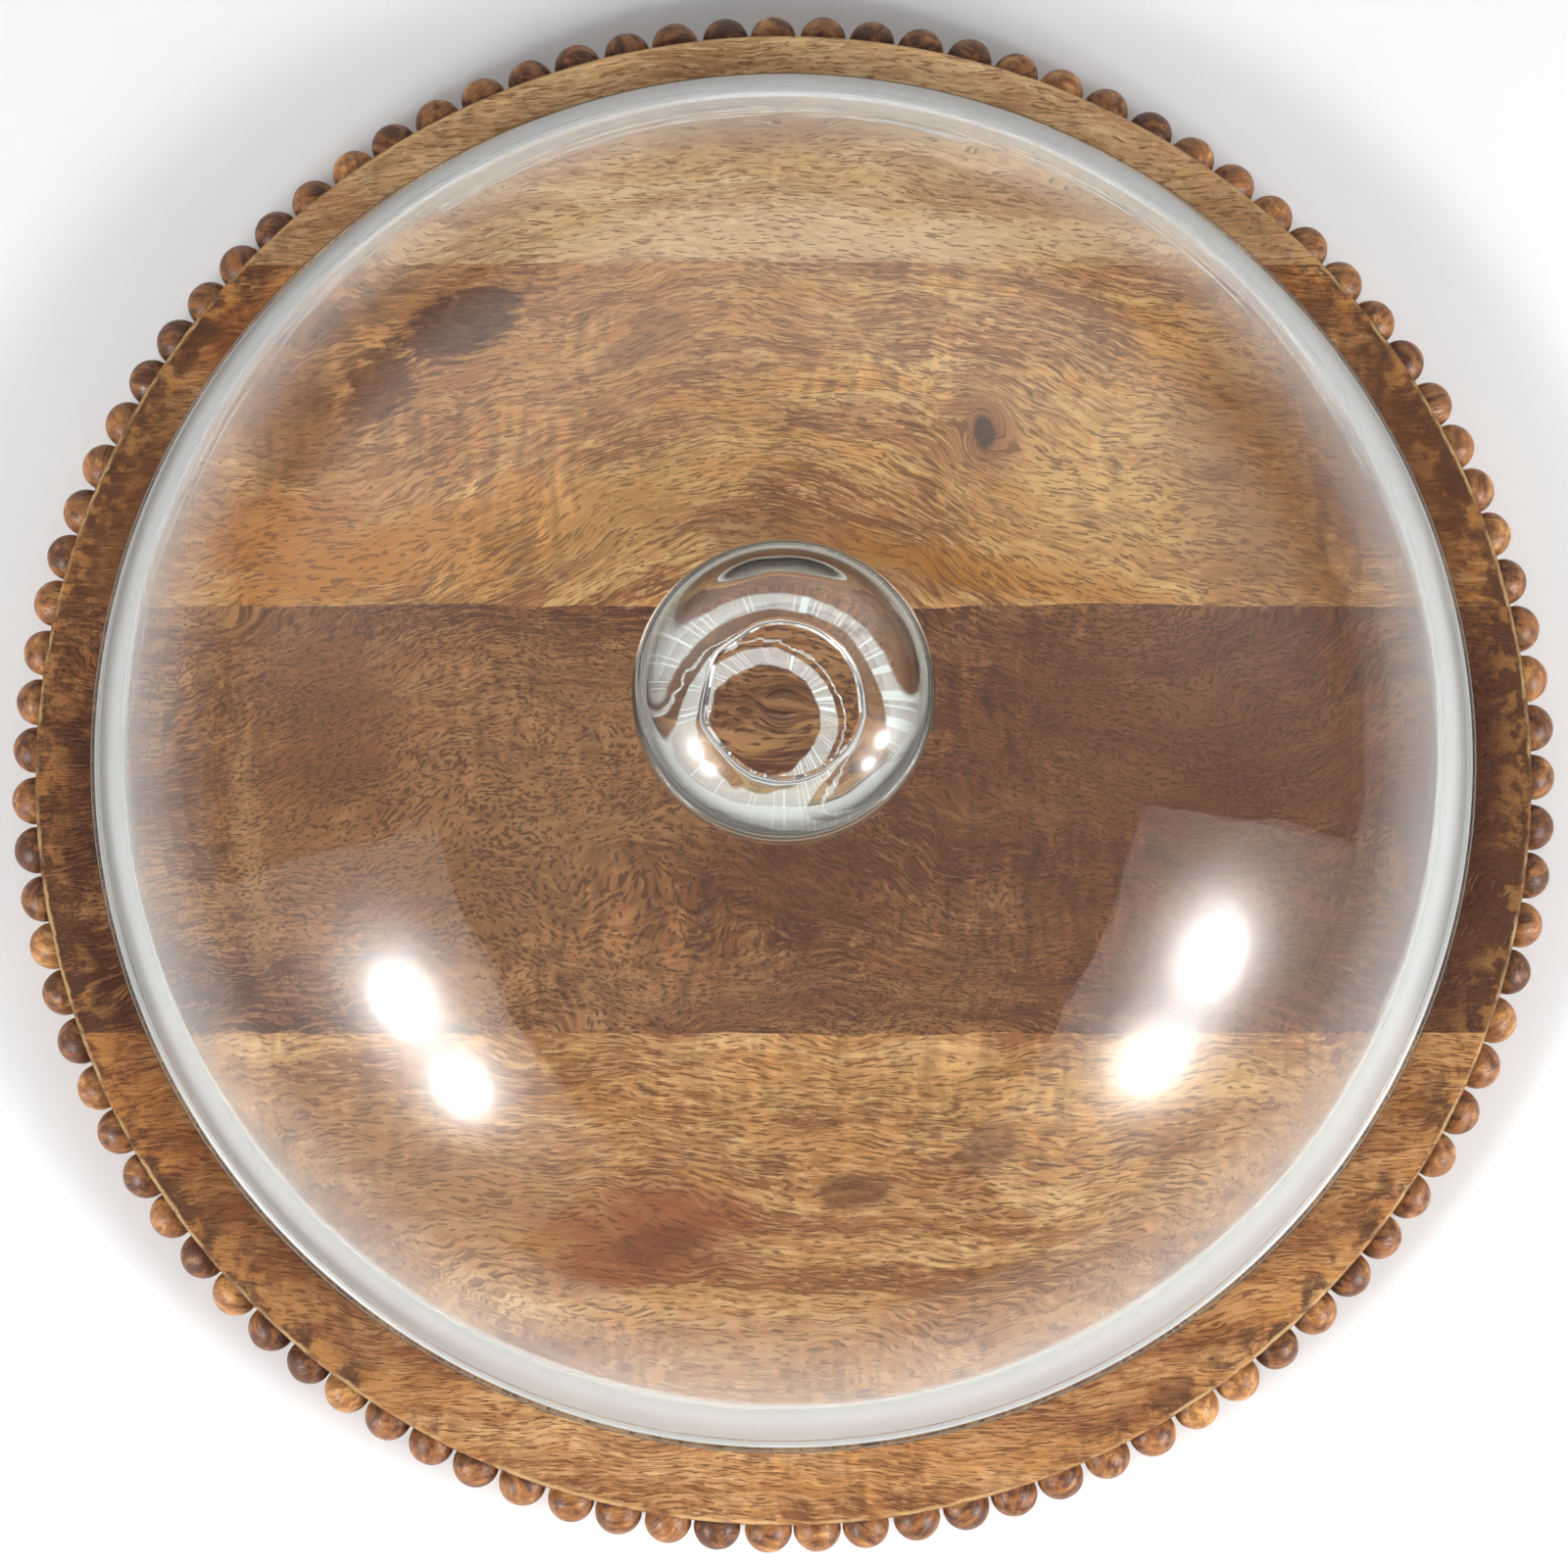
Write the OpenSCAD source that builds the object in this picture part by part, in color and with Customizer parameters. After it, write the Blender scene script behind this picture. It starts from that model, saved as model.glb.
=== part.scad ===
// Round wooden serving board with a beaded edge, under a glass dome that lifts off.
// Lengths are in millimetres and +Z is up. The origin is at the middle of the board's underside,
// with +X along the planks and -Y at the front.

/* [Board] */
// Diameter of the board's top face
board_d = 294; // [240:1:360]
// Thickness of the board
board_t = 16; // [14:0.5:24]
// Size of the 45 degree break on the top and bottom edges
edge_break = 0.6; // [0.2:0.1:1.2]
// Distance in front of the back edge where plank 1 meets plank 2
plank_1_w = 46; // [30:1:60]
// Width of plank 2
plank_2_w = 68; // [40:1:80]
// Width of plank 3
plank_3_w = 84; // [40:1:90]

/* [Edge balls] */
// Usual diameter of a ball
ball_d = 9.35; // [8:0.05:10]
// Difference between the smallest and the largest ball
ball_d_spread = 0.3; // [0:0.05:0.5]
// Usual gap between two balls
ball_gap = 0.415; // [0.2:0.005:0.8]
// Distance of the balls' middles outside the board's edge
ball_overhang = 0.75; // [0:0.05:1.5]
// How unevenly the balls are glued in, outwards or inwards
ball_seat_spread = 0.24; // [0:0.02:0.4]
// Space between the largest ball and the cove, which holds the glue
glue_t = 0.1; // [0.05:0.05:0.3]
// Balls in one group
balls_per_group = 5; // [5:1:10]
// Seed of the uneven spacing
ball_seed = 17; // [1:1:99]

/* [Glass dome] */
// Diameter over the foot rim
foot_d = 272; // [220:1:276]
// Height of the dome from its foot to its crown
dome_h = 101; // [80:1:140]
// Squareness of the bell's outline, where 2 is an ellipse
bell_power = 2.35; // [2:0.05:2.6]
// Thickness of the wall at the foot
wall_t = 4; // [2.5:0.1:5]
// Thickness of the crown
crown_t = 5; // [3:0.1:7]
// Radius of the rolled foot rim
rim_r = 2.6; // [2.2:0.1:3.5]
// How far the foot rim stands out from the wall
rim_proud = 2.4; // [1:0.1:3]
// How far the underside of the rim is ground flat
rim_ground = 0.4; // [0.2:0.1:0.8]
// Distance of the dome behind the middle of the board, as it was put down
dome_back = 3; // [-3:0.5:3]
// Height of the resting film of air under the foot
rest_gap = 0.1; // [0.05:0.05:0.3]

/* [Knob] */
// Diameter of the knob
knob_d = 55; // [40:1:65]
// Height of the knob's flattened ball
knob_h = 35; // [28:1:45]
// Squareness of the ball's lower half, where 2 is an ellipse
knob_under_power = 4; // [2:0.5:5]
// Diameter of the neck under the knob
neck_d = 18; // [14:1:34]
// Height of the neck under the ball's lowest point
neck_h = 4; // [3:0.5:8]
// How far the neck flares out into the pad that is fused to the crown
neck_flare = 6; // [1:0.5:8]

/* [Hidden] */
board_r = board_d / 2;
ball_ring_r = board_r + ball_overhang;
ball_z = board_t / 2;
cove_r = (ball_d + ball_d_spread + ball_seat_spread) / 2 + glue_t;
glue_lines = [board_r - plank_1_w,
              board_r - plank_1_w - plank_2_w,
              board_r - plank_1_w - plank_2_w - plank_3_w];
plank_clear = 5;

// Uneven sizes, seats and gaps of the balls, from seeded random numbers
ball_ring_length = 360 * ball_ring_r * PI / 180;
ball_count = floor(ball_ring_length / (ball_d + ball_gap));
group_count = ceil(ball_count / balls_per_group);
ball_ds = [for (u = rands(-0.5, 0.5, ball_count, ball_seed)) ball_d + u * ball_d_spread];
ball_seats = [for (u = rands(-0.5, 0.5, ball_count, ball_seed + 1)) u * ball_seat_spread];
gap_shares = rands(0.12, 1, ball_count, ball_seed + 2);
spare_length = ball_ring_length - sum(ball_ds);
ball_gaps = [for (s = gap_shares) s * spare_length / sum(gap_shares)];
ball_steps = [for (i = [0:ball_count - 1])
    (ball_ds[i] + ball_ds[(i + 1) % ball_count]) / 2 + ball_gaps[i]];
ball_angles = [for (i = 0, along = 0; i < ball_count; along = along + ball_steps[i], i = i + 1)
    360 * along / ball_ring_length];

wall_r = foot_d / 2 - rim_proud;
dome_z = board_t + rest_gap;
// The crown is flattened here, which makes the seat that the knob is fused to
seat_cut = 0.6;
seat_z = dome_z + dome_h - seat_cut;
knob_z = dome_z + dome_h + neck_h + knob_h / 2;
outline_step = 3;
knob_step = 2.5;

wood_colors = ["#c39a67", "#a97847", "#7a4f33", "#b98a55"];
ball_color = "#7d4e2a";
glass_color = [0.86, 0.93, 0.92, 0.35];

function sum(list, i = 0) = i < len(list) ? list[i] + sum(list, i + 1) : 0;

function group_name(g) = str("edge_beads_", g < 10 ? "0" : "", g);

// A point of the bell's outline, from the foot (turn 0) to the crown (turn 90)
function bell_point(r, h, turn) =
    [r * pow(cos(turn), 2 / bell_power), h * pow(sin(turn), 2 / bell_power)];

// A point of the knob's outline, from the bottom (turn -90) to the top (turn 90)
function knob_point(turn) =
    let (share = turn < 0 ? 2 / knob_under_power : 1)
    [knob_d / 2 * pow(cos(turn), share), sign(turn) * knob_h / 2 * pow(abs(sin(turn)), share)];

// Half of the bell's section, filled in to the axis
module bell_section(r, h) {
    polygon(concat([[0, 0]], [for (turn = [0:outline_step:90]) bell_point(r, h, turn)]));
}

// The whole board before it is parted into planks, with the cove that the balls sit in
module board_blank() {
    rotate_extrude($fn = 180)
    difference() {
        polygon([
            [0, 0],
            [board_r - edge_break, 0],
            [board_r, edge_break],
            [board_r, board_t - edge_break],
            [board_r - edge_break, board_t],
            [0, board_t]]);
        translate([ball_ring_r, ball_z]) circle(r = cove_r, $fn = 96);
    }
}

// The stretch of the board between two glue lines
module plank(front_y, back_y) {
    intersection() {
        board_blank();
        translate([-board_r - plank_clear, front_y, -plank_clear])
            cube([board_d + 2 * plank_clear, back_y - front_y, board_t + 2 * plank_clear]);
    }
}

module plank_1() {
    color(wood_colors[0]) plank(glue_lines[0], board_r + plank_clear);
}

module plank_2() {
    color(wood_colors[1]) plank(glue_lines[1], glue_lines[0]);
}

module plank_3() {
    color(wood_colors[2]) plank(glue_lines[2], glue_lines[1]);
}

module plank_4() {
    color(wood_colors[3]) plank(-board_r - plank_clear, glue_lines[2]);
}

// One group of separate balls, side by side in the cove
module edge_beads(g) {
    color(ball_color)
    for (i = [(g - 1) * balls_per_group : min(g * balls_per_group, ball_count) - 1])
        rotate([0, 0, ball_angles[i]])
        translate([ball_ring_r + ball_seats[i], 0, ball_z])
            sphere(d = ball_ds[i], $fn = 48);
}

// Blown bell with a rolled foot rim, ground flat underneath
module glass_dome() {
    color(glass_color)
    translate([0, dome_back, dome_z])
    rotate_extrude($fn = 180)
    intersection() {
        square([foot_d / 2, dome_h - seat_cut]);
        union() {
            difference() {
                bell_section(wall_r, dome_h);
                bell_section(wall_r - wall_t, dome_h - crown_t);
            }
            translate([foot_d / 2 - rim_r, rim_r - rim_ground]) circle(r = rim_r, $fn = 48);
        }
    }
}

// Flattened solid ball with a flatter underside, on a narrow neck that flares into a pad on the crown
module glass_knob() {
    color(glass_color)
    translate([0, dome_back, 0])
    rotate_extrude($fn = 120)
    union() {
        translate([0, knob_z])
            polygon([for (turn = [-90:knob_step:90]) knob_point(turn)]);
        neck_top = knob_z - seat_z;
        translate([0, seat_z])
            polygon(concat(
                [[0, 0]],
                [for (s = [0:0.125:1]) [neck_d / 2 + neck_flare * pow(1 - s, 2), s * knob_h / 4]],
                [[neck_d / 2, neck_top], [0, neck_top]]));
    }
}

plank_1();
plank_2();
plank_3();
plank_4();
glass_dome();
glass_knob();
for (g = [1:group_count])
    edge_beads(g);
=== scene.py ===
import math
import random

import bmesh
import bpy
from mathutils import Matrix, Vector, noise


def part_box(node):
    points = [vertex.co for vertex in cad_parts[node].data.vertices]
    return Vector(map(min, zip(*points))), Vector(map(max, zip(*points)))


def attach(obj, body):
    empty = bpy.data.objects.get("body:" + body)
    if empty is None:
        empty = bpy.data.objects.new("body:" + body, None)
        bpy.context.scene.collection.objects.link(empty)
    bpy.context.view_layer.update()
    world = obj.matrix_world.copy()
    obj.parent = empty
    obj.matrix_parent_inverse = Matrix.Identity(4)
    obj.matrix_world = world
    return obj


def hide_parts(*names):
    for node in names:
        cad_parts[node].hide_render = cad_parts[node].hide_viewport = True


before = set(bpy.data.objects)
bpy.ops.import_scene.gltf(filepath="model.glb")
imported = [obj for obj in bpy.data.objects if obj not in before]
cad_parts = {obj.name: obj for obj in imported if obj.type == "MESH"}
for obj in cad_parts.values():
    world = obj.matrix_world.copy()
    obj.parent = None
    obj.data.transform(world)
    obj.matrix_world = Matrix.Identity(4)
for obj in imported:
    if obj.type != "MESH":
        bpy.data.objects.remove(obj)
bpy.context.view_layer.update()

MM = 0.001

# The frame gives the places and the overall sizes.
PLANKS = ["plank_1", "plank_2", "plank_3", "plank_4"]
BEAD_NODES = sorted(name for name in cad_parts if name.startswith("edge_beads"))
plank_box = {name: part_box(name) for name in PLANKS}
dome_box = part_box("glass_dome")
knob_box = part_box("glass_knob")
BOARD_T = plank_box["plank_3"][1].z
BOARD_R = plank_box["plank_3"][1].x
GLASS_AXIS = (dome_box[0] + dome_box[1]) / 2
FOOT_Z = dome_box[0].z
SEAT_Z = knob_box[0].z
FOOT_R = (dome_box[1].x - dome_box[0].x) / 2
KNOB_TOP = knob_box[1].z
KNOB_R = (knob_box[1].x - knob_box[0].x) / 2

# The same sizes in millimetres, which the wood's and the glass's patterns use.
RIM_MM = BOARD_R / MM
TOP_MM = BOARD_T / MM
FOOT_MM = FOOT_R / MM

# Sizes of the board's edge. The cove takes the balls, with room for glue.
ARRIS = 0.6 * MM
RING_R = BOARD_R + 0.75 * MM
COVE_R = 4.9 * MM

# Sizes of the glass, as in the CAD part.
BELL_POWER = 2.35
SEAT_CUT = 0.6 * MM
BELL_H = SEAT_Z - FOOT_Z + SEAT_CUT
RIM_PROUD = 2.4 * MM
WALL_R = FOOT_R - RIM_PROUD
WALL_T = 4.0 * MM
CROWN_T = 5.0 * MM
RIM_R = 2.6 * MM
RIM_GROUND = 0.4 * MM
NECK_R = 9.0 * MM
NECK_FLARE = 6.0 * MM
KNOB_H = 35.0 * MM
KNOB_UNDER_POWER = 4.0

# Fineness of the meshes: steps of each surface of revolution, round and along its outline.
BOARD_TURNS = 720
DOME_TURNS = 288
DOME_STEPS = 190
KNOB_TURNS = 192
KNOB_STEPS = 144

# Look of the glass. The foot has a painted whitish glow, which stands in for light that the glass
# gathers where it is seen edge on; the glow reaches up to the top height below and fades out over
# the last fade length below. The neck was closed by hand with an odd number of flats, and its rings
# sit beside the axis (in mm).
CLEAR = (0.985, 0.995, 0.99, 1)
LAMP_TINT = (0.95, 0.965, 0.955, 1)
GLASS_IOR = 1.5
PAINTED_GLOW_TOP = 58.0 * MM
PAINTED_GLOW_FADE = 18.0 * MM
NECK_FLATS = 7
FLATS_TURN = 0.6
CRIMP_SHIFT = (-2.4, -2.0)
PAD_SHIFT = (-0.8, -1.0)
CRIMP_H = 8.0 * MM

# Studio. The floor is white round the board and grey beyond the frame of the picture, the grey being
# painted shade for a studio that is dim further out. Each bright lobe of a soft box has a wide halo, a
# glow and a small core, given as (strength, steepness).
FLOOR_HALF = 40.0
WHITE_TO = 0.21
GREY_FROM = 0.50
WHITE_PAPER = (0.93, 0.93, 0.93, 1)
# Painted shade of the floor further out from the board.
PAINTED_FAR_SHADE = (0.36, 0.36, 0.36, 1)
ROOM_LEVEL = 0.135
WALL_LEVEL = 0.84
BOX_WIDTH = 1.46
BOX_HEIGHT = 1.3
CLOTH_STRENGTH = 0.2
HALO = (3.6, 8.0)
GLOW = (10.0, 90.0)
CORE = (72.0, 500.0)

CAMERA_TILT = math.radians(5.5)
CAMERA_DISTANCE = 1.5
CAMERA_AIM = Vector((0.0001, -0.0021, BOARD_T))
FRAME_WIDTH = 0.3079


class Nodes:
    """Short ways to add shader nodes to one node tree. Each method returns an output socket."""

    def __init__(self, tree):
        self.tree = tree
        self.tree.nodes.clear()

    def add(self, kind, inputs=(), out=0, **settings):
        node = self.tree.nodes.new("ShaderNode" + kind)
        for key, value in settings.items():
            setattr(node, key, value)
        for key, value in dict(inputs).items():
            self.feed(node.inputs[key], value)
        return node.outputs[out] if node.outputs else node.inputs[0]

    def feed(self, socket, value):
        if isinstance(value, bpy.types.NodeSocket):
            self.tree.links.new(value, socket)
        else:
            socket.default_value = value

    def math(self, operation, a, b=0.0, c=0.0):
        return self.add("Math", {0: a, 1: b, 2: c}, operation=operation)

    def total(self, *terms):
        result = terms[0]
        for term in terms[1:]:
            result = self.math("ADD", result, term)
        return result

    def times(self, a, b):
        return self.math("MULTIPLY", a, b)

    def centred(self, value, size):
        """A 0 to 1 value turned into one that swings by the given size about 0."""
        return self.times(self.math("SUBTRACT", value, 0.5), size)

    def join(self, x, y, z):
        return self.add("CombineXYZ", {0: x, 1: y, 2: z})

    def split(self, vector):
        node = self.add("SeparateXYZ", {0: vector}).node
        return node.outputs[0], node.outputs[1], node.outputs[2]

    def stretch(self, vector, lengths, shift=0.0):
        """The vector in units of the given lengths, moved by a shift that acts as a seed."""
        scale = [1 / length for length in lengths]
        inputs = {0: vector, 1: scale, 2: (shift, shift * 1.7, shift * 0.6)}
        return self.add("VectorMath", inputs, operation="MULTIPLY_ADD")

    def noise(self, vector, detail=2.0, rough=0.5):
        inputs = {"Vector": vector, "Scale": 1.0, "Detail": detail, "Roughness": rough}
        return self.add("TexNoise", inputs)

    def span(self, value, low, high, to_low=0.0, to_high=1.0):
        inputs = {0: value, 1: low, 2: high, 3: to_low, 4: to_high}
        return self.add("MapRange", inputs, clamp=True, interpolation_type="SMOOTHSTEP")

    def blend(self, share, a, b, kind="MIX"):
        node = self.add("Mix", data_type="RGBA", blend_type=kind).node
        self.feed(node.inputs[0], share)
        self.feed(node.inputs[6], a)
        self.feed(node.inputs[7], b)
        return node.outputs[2]

    def bump(self, height, depth):
        return self.add("Bump", {"Height": height, "Distance": depth, "Strength": 1.0})

    def output(self, shader, kind="OutputMaterial"):
        self.add(kind, {"Surface": shader})


def new_material(name):
    material = bpy.data.materials.new(name)
    material.use_nodes = True
    return material, Nodes(material.node_tree)


def rgb(red, green, blue):
    """A colour given as 0 to 255 display values, as the linear colour that a shader takes."""
    def linear(value):
        share = value / 255
        return share / 12.92 if share <= 0.04045 else ((share + 0.055) / 1.055) ** 2.4
    return (linear(red), linear(green), linear(blue), 1.0)


# ---- Wood of the board ----

# Tones are display values. A patch is (x, y, half length, half width, turn in degrees, tone, strength,
# softness of its outline, unevenness of its outline). A hump bends the grain: (x, y, half width,
# height, reach in y). A knot is (x, y, half width, half height).
WOODS = {
    "plank_1": {
        "seed": 3.1,
        "light": (220, 187, 144), "middle": (197, 159, 117), "dark": (158, 115, 75), "pore": (118, 77, 45),
        "warm": (208, 163, 112), "ruddy": (180, 134, 98),
        "stain": 0.4, "hump": (-12, 120, 70, 7, 60), "bend": 9, "swirl": 3, "pores": 0.585,
        "pore_length": 2.6, "pore_width": 0.4,
        "mottle": 0.45, "ripple": 0.1, "band": 0.7, "speckle": 0.9, "flecks": 0.5,
        "patches": [
            (-8, 129, 42, 4.5, 0, (150, 110, 73), 0.55, 0.6, 0.6),
            (72, 112, 40, 4, -8, (160, 115, 73), 0.5, 0.6, 0.7),
            (20, 106, 60, 3, 0, (214, 181, 137), 0.6, 0.7, 0.7),
        ],
        "knots": [],
    },
    "plank_2": {
        "seed": 7.7,
        "light": (212, 168, 114), "middle": (184, 136, 86), "dark": (132, 84, 47), "pore": (104, 65, 36),
        "warm": (200, 140, 76), "ruddy": (166, 108, 68),
        "stain": 1.0, "hump": (-4, 34, 58, 42, 60), "bend": 10, "swirl": 5, "pores": 0.565,
        "pore_length": 2.2, "pore_width": 0.42,
        "mottle": 0.95, "ripple": 0.3, "band": 1.0, "speckle": 1.1, "flecks": 0.8,
        "patches": [
            (-70, 78, 62, 30, 18, (170, 112, 66), 0.45, 0.7, 0.9),
            (-63, 90, 13, 6, 35, (76, 42, 25), 0.9, 0.25, 2.4),
            (-80, 77, 9, 6, 50, (80, 48, 28), 0.8, 0.2, 2.4),
            (-83, 93, 14, 4, 30, (104, 67, 39), 0.6, 0.3, 2.6),
            (-96, 70, 14, 13, 40, (122, 72, 40), 0.65, 0.4, 1.4),
            (-30, 84, 5, 3, 20, (118, 77, 51), 0.6, 0.3, 1.0),
            (-24, 88, 6, 3, 0, (118, 77, 51), 0.5, 0.3, 1.0),
            (-98, 44, 20, 10, 0, (170, 104, 46), 0.65, 0.5, 1.2),
            (-66, 45, 36, 7, 14, (184, 122, 50), 0.6, 0.5, 1.2),
            (-28, 52, 20, 9, 30, (188, 143, 87), 0.5, 0.6, 0.8),
            (6, 44, 26, 8, -12, (112, 66, 38), 0.62, 0.35, 1.4),
            (48, 38, 34, 3.5, -10, (168, 109, 35), 0.65, 0.5, 0.9),
            (70, 52, 34, 16, -12, (196, 149, 89), 0.45, 0.6, 0.9),
            (96, 60, 18, 34, 10, (132, 86, 48), 0.75, 0.6, 0.8),
            (126, 66, 24, 30, 0, (104, 60, 32), 0.8, 0.5, 0.9),
            (-134, 62, 14, 34, 0, (106, 65, 37), 0.7, 0.5, 0.9),
        ],
        "knots": [(39.6, 67.2, 2.0, 3.2)],
    },
    "plank_3": {
        "seed": 12.4,
        "light": (168, 121, 79), "middle": (118, 74, 45), "dark": (78, 44, 25), "pore": (72, 40, 22),
        "warm": (146, 92, 52), "ruddy": (98, 56, 33),
        "stain": 0.8, "hump": (-30, -10, 60, 14, 60), "bend": 22, "swirl": 7, "pores": 0.545,
        "pore_length": 1.15, "pore_width": 0.5,
        "mottle": 1.25, "ripple": 0.4, "band": 0.6, "speckle": 2.2, "flecks": 0.65,
        "patches": [
            (100, -12, 62, 50, 0, (84, 48, 28), 0.6, 0.6, 0.9),
            (-92, 2, 26, 34, 10, (150, 101, 63), 0.55, 0.5, 0.9),
            (-88, 8, 14, 16, 20, (110, 65, 35), 0.55, 0.4, 0.9),
            (-104, -16, 3, 22, 6, (170, 125, 83), 0.6, 0.6, 0.8),
            (-52, -16, 24, 30, -12, (146, 103, 67), 0.6, 0.7, 0.9),
            (-28, 6, 22, 18, 0, (132, 91, 59), 0.4, 0.7, 0.9),
            (-50, 22, 14, 8, 10, (150, 105, 67), 0.4, 0.7, 0.9),
            (70, 0, 50, 42, 0, (104, 65, 41), 0.6, 0.6, 0.6),
            (0, -18, 22, 13, -8, (84, 47, 25), 0.65, 0.6, 0.8),
            (20, -42, 40, 10, 5, (104, 63, 37), 0.4, 0.7, 0.8),
            (-20, -44, 30, 8, 0, (138, 95, 63), 0.4, 0.7, 0.8),
            (88, -32, 20, 16, 0, (132, 87, 55), 0.4, 0.7, 0.8),
            (138, -10, 16, 44, 0, (92, 55, 33), 0.7, 0.4, 0.6),
        ],
        "knots": [],
    },
    "plank_4": {
        "seed": 18.9,
        "light": (214, 170, 119), "middle": (187, 139, 91), "dark": (134, 85, 48), "pore": (104, 63, 35),
        "warm": (188, 132, 76), "ruddy": (158, 104, 64),
        "stain": 0.95, "hump": (36, -96, 60, -9, 50), "bend": 9, "swirl": 4, "pores": 0.565,
        "pore_length": 2.9, "pore_width": 0.45,
        "mottle": 0.55, "ripple": 0.25, "band": 1.0, "speckle": 1.1, "flecks": 0.55,
        "patches": [
            (-27, -91, 22, 10, 8, (136, 74, 38), 0.75, 0.4, 0.8),
            (-24, -92, 10, 4, 8, (104, 52, 26), 0.75, 0.4, 0.8),
            (-62, -84, 26, 9, -6, (146, 95, 55), 0.55, 0.5, 0.9),
            (-84, -70, 20, 9, -20, (136, 89, 55), 0.5, 0.5, 0.9),
            (14, -82, 7, 3.5, 10, (104, 59, 33), 0.75, 0.3, 1.0),
            (40, -73, 7, 4, 30, (108, 65, 37), 0.7, 0.3, 1.0),
            (0, -112, 60, 7, 3, (150, 95, 53), 0.45, 0.6, 0.9),
            (-96, -98, 20, 30, 40, (118, 73, 41), 0.55, 0.6, 0.8),
            (60, -60, 60, 5, 2, (206, 157, 95), 0.4, 0.7, 0.8),
            (90, -84, 34, 16, 30, (164, 117, 73), 0.4, 0.7, 0.8),
        ],
        "knots": [],
    },
}


def bell_curve(n, value, middle, width):
    """1 at the middle, falling smoothly to 0 on both sides."""
    share = n.math("DIVIDE", n.math("SUBTRACT", value, middle), width)
    return n.math("EXPONENT", n.times(n.times(share, share), -1.0))


def grain_vector(n, place, wood):
    """Grain coordinates in mm: along the grain, across it and up. The grain bends and goes round knots."""
    x, y, z = n.split(place)
    hump_x, hump_y, hump_w, hump_h, reach = wood["hump"]
    hump = n.times(n.times(bell_curve(n, x, hump_x, hump_w), bell_curve(n, y, hump_y, reach)), -hump_h)
    slow = n.noise(n.stretch(place, (95, 60, 60), wood["seed"]), detail=1)
    quick = n.noise(n.stretch(place, (24, 17, 17), wood["seed"] + 5), detail=2, rough=0.45)
    across = n.total(y, hump, n.centred(slow, wood["bend"] * 2), n.centred(quick, wood["swirl"] * 2))
    for knot_x, knot_y, knot_a, knot_b in wood["knots"]:
        dx = n.math("SUBTRACT", x, knot_x)
        dy = n.math("SUBTRACT", y, knot_y)
        square_size = ((knot_a + knot_b) * 1.6) ** 2
        square = n.total(n.times(dx, dx), n.times(dy, dy), square_size * 0.35)
        across = n.math("ADD", across, n.math("DIVIDE", n.times(dy, -square_size * 0.9), square))
    waver = n.noise(n.stretch(place, (14, 14, 14), wood["seed"] + 9), detail=1)
    return n.join(n.math("ADD", x, n.centred(waver, wood["swirl"])), across, z)


def patch_mask(n, x, y, wobble, patch):
    """From 0 outside an uneven ellipse to the patch's strength inside it."""
    middle_x, middle_y, half_l, half_w, turn, _, strength, soft, uneven = patch
    cosine = math.cos(math.radians(turn))
    sine = math.sin(math.radians(turn))
    dx = n.math("SUBTRACT", x, middle_x)
    dy = n.math("SUBTRACT", y, middle_y)
    along = n.math("ADD", n.times(dx, cosine / half_l), n.times(dy, sine / half_l))
    across = n.math("SUBTRACT", n.times(dy, cosine / half_w), n.times(dx, sine / half_w))
    square = n.math("ADD", n.times(along, along), n.times(across, across))
    distance = n.math("ADD", n.math("SQRT", square), n.times(wobble, uneven))
    return n.span(distance, 1 + soft, 1 - soft, 0.0, strength)


def knot_colour(n, colour, x, y, wobble, knot):
    """A dark core with a reddish halo."""
    knot_x, knot_y, half_a, half_b = knot
    halo = (knot_x, knot_y, half_a * 3.1, half_b * 3.1, 12, None, 0.62, 0.55, 0.8)
    ring = (knot_x, knot_y, half_a * 1.7, half_b * 1.7, 12, None, 0.5, 0.4, 0.4)
    core = (knot_x, knot_y, half_a, half_b, 12, None, 0.95, 0.25, 0.3)
    colour = n.blend(patch_mask(n, x, y, wobble, halo), colour, rgb(146, 94, 62))
    colour = n.blend(patch_mask(n, x, y, wobble, ring), colour, rgb(120, 74, 50))
    return n.blend(patch_mask(n, x, y, wobble, core), colour, rgb(74, 56, 48))


def edge_stain(n, colour, place, radius, wood):
    """The stain is darker and uneven towards the rim, and the arris is worn to bare wood in places."""
    seed = wood["seed"]
    wide = n.noise(n.stretch(place, (48, 48, 48), seed + 31), detail=1)
    fine = n.noise(n.stretch(place, (3.2, 3.2, 3.2), seed + 37), detail=3, rough=0.65)
    blotch = n.noise(n.stretch(place, (9, 9, 9), seed + 41), detail=2, rough=0.55)
    uneven = n.total(wide, n.centred(blotch, 0.5))
    sideways = n.span(n.math("ABSOLUTE", n.split(place)[0]), 25, 95, 0.12 * wood["stain"], wood["stain"])
    inwards = n.span(radius, RIM_MM - 31, RIM_MM - 7)
    depth = n.times(n.times(inwards, n.span(uneven, 0.34, 0.66, 0.3, 1.0)), sideways)
    stained = n.blend(1.0, colour, (0.60, 0.45, 0.32, 1), "MULTIPLY")
    colour = n.blend(depth, colour, stained)
    edge = n.times(n.span(radius, RIM_MM - 10.5, RIM_MM - 1), sideways)
    spotted = n.total(n.times(fine, 0.6), n.times(blotch, 0.6))
    bare = n.span(spotted, 0.60, 0.50, 0.0, 0.5)
    spots = n.span(spotted, 0.56, 0.70)
    colour = n.blend(n.times(edge, bare), colour, rgb(190, 134, 72))
    colour = n.blend(n.times(edge, spots), colour, rgb(82, 50, 30))
    worn_place = n.math("ADD", radius, n.centred(fine, 1.3))
    from_inside = n.span(worn_place, RIM_MM - 1, RIM_MM - 0.5)
    from_outside = n.span(worn_place, RIM_MM, RIM_MM - 0.2)
    on_arris = n.times(from_inside, from_outside)
    worn = n.times(on_arris, n.span(blotch, 0.42, 0.60, 0.0, 0.7))
    return n.blend(worn, colour, rgb(205, 168, 112))


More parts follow.
